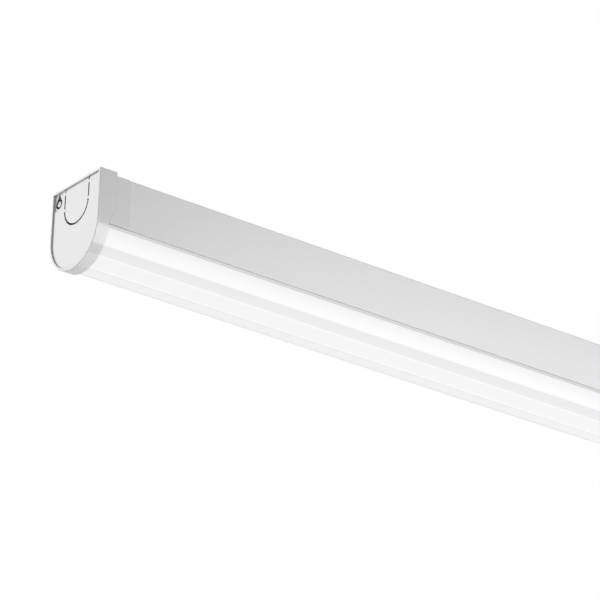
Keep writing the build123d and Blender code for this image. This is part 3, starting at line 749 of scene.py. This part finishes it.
def pan_screw(reach, head_radius, head_height, shank_radius, cross_reach, cross_width, cross_depth):
    """A screw whose head stands on Z = 0, with its shank below."""
    tip = shank_radius / 3
    bpy.ops.object.select_all(action="DESELECT")
    bpy.ops.mesh.primitive_cylinder_add(
        vertices=head_sides, radius=head_radius, depth=head_height, location=(0, 0, head_height / 2)
    )
    screw = bpy.context.object
    bpy.ops.object.transform_apply(location=True)
    bpy.ops.object.mode_set(mode="EDIT")
    pick(lambda point: point.z > head_height - tiny)
    bpy.ops.mesh.bevel(offset=rounding_share * head_height, segments=rounding_steps, affect="EDGES")
    pick(lambda point: point.z < tiny)
    bpy.ops.mesh.inset(thickness=head_radius - shank_radius)
    bpy.ops.mesh.extrude_region_move(TRANSFORM_OT_translate={"value": (0, 0, tip - reach)})
    bpy.ops.mesh.extrude_region_move(TRANSFORM_OT_translate={"value": (0, 0, -tip)})
    bpy.ops.transform.resize(value=(tip_share, tip_share, 1), center_override=(0, 0, -reach))
    bpy.ops.object.mode_set(mode="OBJECT")
    for length, width in ((2 * cross_reach, cross_width), (cross_width, 2 * cross_reach)):
        bpy.ops.object.select_all(action="DESELECT")
        bpy.ops.mesh.primitive_cube_add(
            size=1, location=(0, 0, head_height), scale=(length, width, 2 * cross_depth)
        )
        cutter = bpy.context.object
        bpy.context.view_layer.objects.active = screw
        recess = screw.modifiers.new("recess", "BOOLEAN")
        recess.object = cutter
        recess.solver = "EXACT"
        bpy.ops.object.modifier_apply(modifier=recess.name)
        bpy.data.objects.remove(cutter)
    screw.select_set(True)
    bpy.ops.object.mode_set(mode="EDIT")
    close_up()
    return screw


print("screw model ready")

# %% [markdown]
# ## Screws in their places
# Each set of screws is modelled once and copied to where its CAD node has them. A copy of that node is split
# into its loose solids, and the box round each solid gives the place and the length of one screw. The heads of
# the screws in the end caps stand a little taller than their solids, so that they catch the light in their
# dark cups.

# %% Helpers for copies
def separate_boxes(node):
    """Lowest and highest corner of each solid in a CAD node."""
    bpy.ops.object.select_all(action="DESELECT")
    nodes[node].select_set(True)
    bpy.context.view_layer.objects.active = nodes[node]
    bpy.ops.object.duplicate()
    bpy.ops.object.mode_set(mode="EDIT")
    bpy.ops.mesh.select_all(action="SELECT")
    bpy.ops.mesh.remove_doubles(threshold=tiny)
    bpy.ops.mesh.separate(type="LOOSE")
    bpy.ops.object.mode_set(mode="OBJECT")
    boxes = []
    for part in bpy.context.selected_objects:
        points = [vertex.co for vertex in part.data.vertices]
        low, high = (
            Vector([extreme(point[i] for point in points) for i in range(3)]) for extreme in (min, max)
        )
        boxes.append((low, high))
    bpy.ops.object.delete()
    return boxes


def place_copies(model, places):
    """Copies of a model at each (place, direction of its Z), joined into one piece."""
    copies = []
    for point, direction in places:
        bpy.ops.object.select_all(action="DESELECT")
        model.select_set(True)
        bpy.context.view_layer.objects.active = model
        bpy.ops.object.duplicate()
        copy = bpy.context.object
        turn = Vector((0, 0, 1)).rotation_difference(direction).to_matrix().to_4x4()
        copy.matrix_world = Matrix.Translation(point) @ turn
        bpy.ops.object.transform_apply()
        copies.append(copy)
    bpy.data.objects.remove(model)
    for copy in copies:
        copy.select_set(True)
    bpy.context.view_layer.objects.active = copies[0]
    bpy.ops.object.join()
    return bpy.context.object


def dress_screws(node, body, material, heads, sizes, proud=0.0):
    """Replace a node of screws; heads tells from a screw's X where its head points, proud lifts its top."""
    places = []
    for low, high in separate_boxes(node):
        middle = (low + high) / 2
        direction = Vector(heads(middle.x))
        half = abs((high - low).dot(direction)) / 2
        places.append((middle + direction * (half + proud - sizes["head_height"]), direction))
    model = pan_screw(2 * half + proud - sizes["head_height"], **sizes)
    hand_over(place_copies(model, places), node + "_dressed", node, body, material)


print("helpers for copies ready")

# %% Screws in their places
small_screw = {
    "head_radius": 2.8 * MM,
    "head_height": 1.7 * MM,
    "shank_radius": 1.5 * MM,
    "cross_reach": 1.6 * MM,
    "cross_width": 0.7 * MM,
    "cross_depth": 0.9 * MM,
}
end_screw = {
    "head_radius": 2.45 * MM,
    "head_height": 2.3 * MM,
    "shank_radius": 1.75 * MM,
    "cross_reach": 1.5 * MM,
    "cross_width": 0.7 * MM,
    "cross_depth": 0.9 * MM,
}
end_proud = 0.7 * MM


def outwards(x):
    """Heads that face away from the middle of the light."""
    return math.copysign(1, x), 0, 0


def inwards(x):
    return -math.copysign(1, x), 0, 0


def downwards(x):
    return 0, 0, -1


def upwards(x):
    return 0, 0, 1


dress_screws("left_cap_screw", "left_screw", painted_highlight_satin_zinc, outwards, end_screw, end_proud)
dress_screws("right_cap_screw", "right_screw", painted_highlight_satin_zinc, outwards, end_screw, end_proud)
dress_screws("cap_fixing_screws", "light_engine", zinc, inwards, small_screw)
dress_screws("board_screws", "light_engine", zinc, downwards, small_screw)
dress_screws("driver_screws", "light_engine", zinc, upwards, small_screw)
dress_screws("earth_screw", "light_engine", zinc, upwards, small_screw)

# %% [markdown]
# ## Rivets
# The leaf springs are riveted to the tray. A rivet is round all the way, so its half section is drawn from the
# top of one domed head to the other and spun a full turn about its own axis.

# %% Spring rivets
rivet_head = (3.0 * MM, 1.0 * MM)  # radius and height
rivet_radius = 1.6 * MM
dome_steps = 8
dome_edge = 0.3 * MM
rivet_sides = 32
rivet_boxes = separate_boxes("spring_rivets")
rivet_half = (rivet_boxes[0][1].z - rivet_boxes[0][0].z) / 2
head_level = rivet_half - rivet_head[1]
dome = [
    (rivet_head[0] * math.sin(turn), head_level + dome_edge + (rivet_head[1] - dome_edge) * math.cos(turn))
    for turn in (math.pi / 2 * step / dome_steps for step in range(dome_steps + 1))
]
upper = dome + [(rivet_head[0], head_level), (rivet_radius, head_level)]
section = upper + [(radius, -height) for radius, height in reversed(upper)]
one_vertex((0, 0, rivet_half))
move_on([(after[0] - now[0], 0, after[1] - now[1]) for now, after in zip(section, section[1:])])
bpy.ops.mesh.select_all(action="SELECT")
bpy.ops.mesh.spin(steps=rivet_sides, angle=math.tau, center=(0, 0, 0), axis=(0, 0, 1))
close_up()
rivet = bpy.context.object
rivets = place_copies(rivet, [((low + high) / 2, Vector((0, 0, 1))) for low, high in rivet_boxes])
hand_over(rivets, "spring_rivets_dressed", "spring_rivets", "light_engine", zinc)
